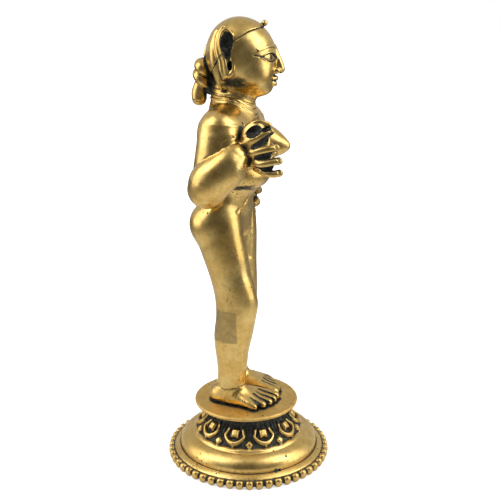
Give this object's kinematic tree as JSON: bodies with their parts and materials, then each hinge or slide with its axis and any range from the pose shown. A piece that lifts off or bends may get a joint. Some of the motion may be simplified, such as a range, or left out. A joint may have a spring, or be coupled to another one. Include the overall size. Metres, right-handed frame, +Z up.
{
  "type": "radha figure",
  "caption": "Standing female devotional figure in cast brass, one hand raised before the breast and one at the hip, on a round lotus plinth with a beaded foot.",
  "frame": {"origin": "middle of the plinth's flat underside", "axes": "+Z up; the figure faces -Y, so its right side is towards -X"},
  "size_m": [0.1142, 0.1142, 0.3026],
  "materials": {
    "figure_brass": "polished, warm, with a dark patina in the recesses and small casting pits",
    "plinth_brass": "polished on the high places, with near-black patina between the petals and the beads"
  },
  "bodies": {
    "root": {"radha_figure": "figure_brass", "lotus_plinth": "plinth_brass"}
  },
  "joints": []
}
